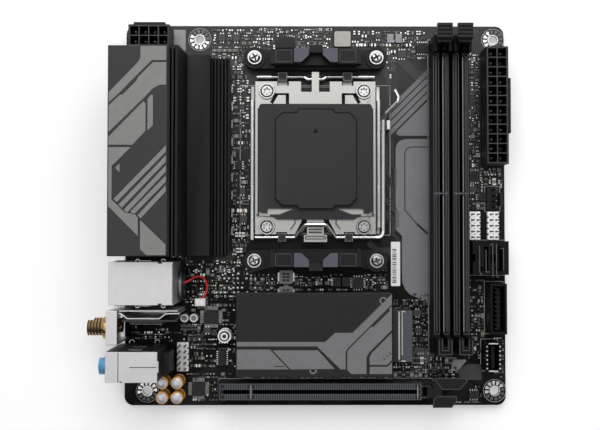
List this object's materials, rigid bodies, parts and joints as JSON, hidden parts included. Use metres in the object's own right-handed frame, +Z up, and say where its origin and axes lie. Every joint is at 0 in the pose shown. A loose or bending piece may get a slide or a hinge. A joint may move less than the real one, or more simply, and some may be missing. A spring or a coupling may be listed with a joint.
{
  "type": "motherboard",
  "caption": "Square small-form computer board with a lever-locked processor socket under its cap, memory and expansion slots with latches, dark heatsinks, and rear ports under a grey cover.",
  "frame": {"origin": "axis of the rear mounting hole nearest the expansion slot, on the board's underside", "axes": "+X away from the rear port edge, +Y along that edge towards the processor power header, +Z up from the component side"},
  "size_m": [0.1822, 0.17, 0.0419],
  "materials": {
    "solder_mask": "satin black solder mask over glass-fibre laminate",
    "tin": "tinned metal, satin",
    "backplate_steel": "dark coated steel",
    "insulating_film": "matt film",
    "black_plastic": "moulded, fine matt texture",
    "gold_contact": "gold plating, smooth",
    "frame_steel": "pressed steel, satin",
    "wire_steel": "nickel-plated wire, bright",
    "plate_steel": "pressed stainless steel, satin",
    "screw_steel": "nickel-plated, satin",
    "black_screw": "black oxide",
    "cap_plastic": "moulded, satin",
    "cover_paint": "fine textured dark grey paint",
    "black_anodised": "black anodised, brushed",
    "grey_anodised": "dark grey, brushed",
    "thermal_pad": "soft pad, matt",
    "ferrite": "pressed ferrite, matt",
    "chip_epoxy": "moulded epoxy, matt",
    "shield_steel": "tinned shield sheet, satin",
    "card_mask": "green solder mask",
    "jack_plastic": "coloured moulded rings, glossy",
    "capacitor_sleeve": "gold-brown sleeve, satin",
    "battery_sleeve": "shrink sleeve",
    "lead_insulation": "thin flexible insulation",
    "white_plastic": "moulded, satin",
    "blue_grey_plastic": "moulded, satin",
    "chip_substrate": "dark die and carrier",
    "brass_plating": "gold-plated brass, satin"
  },
  "bodies": {
    "board": {"pcb": "solder_mask", "solder_joints": "tin", "cooler_backplate": "backplate_steel", "backplate_insulator": "insulating_film", "socket_body": "black_plastic", "socket_contacts": "gold_contact", "socket_frame": "frame_steel", "socket_screws": "screw_steel", "cooler_bracket_upper": "black_plastic", "cooler_bracket_lower": "black_plastic", "bracket_screws": "screw_steel", "dimm_slot_1": "black_plastic", "dimm_slot_2": "black_plastic", "dimm_contacts": "gold_contact", "pcie_slot": "black_plastic", "pcie_contacts": "gold_contact", "atx_header": "black_plastic", "eps_header": "black_plastic", "power_pins": "tin", "io_cover": "cover_paint", "vrm_heatsink": "black_anodised", "vrm_thermal_pads": "thermal_pad", "vrm_chokes": "ferrite", "power_stages": "chip_epoxy", "usb_ports": "shield_steel", "display_ports": "shield_steel", "lan_usb_port": "shield_steel", "port_tongues": "black_plastic", "wifi_bracket": "shield_steel", "wifi_cage": "shield_steel", "wifi_card": "card_mask", "antenna_connectors": "brass_plating", "audio_core": "black_plastic", "audio_shield": "shield_steel", "jack_rings": "jack_plastic", "audio_capacitors": "capacitor_sleeve", "battery": "battery_sleeve", "battery_leads": "lead_insulation", "battery_plug": "white_plastic", "sata_ports": "black_plastic", "usb3_header": "black_plastic", "usb_c_header": "shield_steel", "pin_headers": "white_plastic", "header_pins": "gold_contact", "fan_header": "black_plastic", "m2_heatsink": "grey_anodised", "chipset_heatsink": "grey_anodised", "heatsink_screws": "black_screw", "chipset": "chip_substrate", "m2_connectors": "blue_grey_plastic", "m2_standoff": "screw_steel", "ic_packages": "chip_epoxy", "power_inductors": "ferrite"},
    "lever": {"socket_lever": "wire_steel"},
    "load_plate": {"load_plate": "plate_steel", "hinge_wire": "wire_steel"},
    "cap": {"socket_cap": "cap_plastic"},
    "dimm_latch_1": {"dimm_latch_1": "black_plastic"},
    "dimm_latch_2": {"dimm_latch_2": "black_plastic"},
    "pcie_latch": {"pcie_latch": "black_plastic"}
  },
  "joints": [
    {"name": "lever_swing", "type": "hinge", "parent": "board", "child": "lever", "pos_m": [0.0748, 0.06835, 0.0046], "axis": [1, 0, 0], "range_deg": [0, 110]},
    {"name": "load_plate_lift", "type": "hinge", "parent": "board", "child": "load_plate", "pos_m": [0.07478, 0.14005, 0.0046], "axis": [-1, 0, 0], "range_deg": [0, 92]},
    {"name": "cap_lift", "type": "slide", "parent": "load_plate", "child": "cap", "axis": [0, 0, 1], "range_m": [0, 0.03]},
    {"name": "dimm_latch_1_tilt", "type": "hinge", "parent": "board", "child": "dimm_latch_1", "pos_m": [0.12974, 0.15385, 0.006], "axis": [-1, 0, 0], "range_deg": [0, 25]},
    {"name": "dimm_latch_2_tilt", "type": "hinge", "parent": "board", "child": "dimm_latch_2", "pos_m": [0.13849, 0.15385, 0.006], "axis": [-1, 0, 0], "range_deg": [0, 25]},
    {"name": "pcie_latch_tilt", "type": "hinge", "parent": "board", "child": "pcie_latch", "pos_m": [0.12444, 0.0013, 0.0052], "axis": [0, 1, 0], "range_deg": [0, 20]}
  ]
}
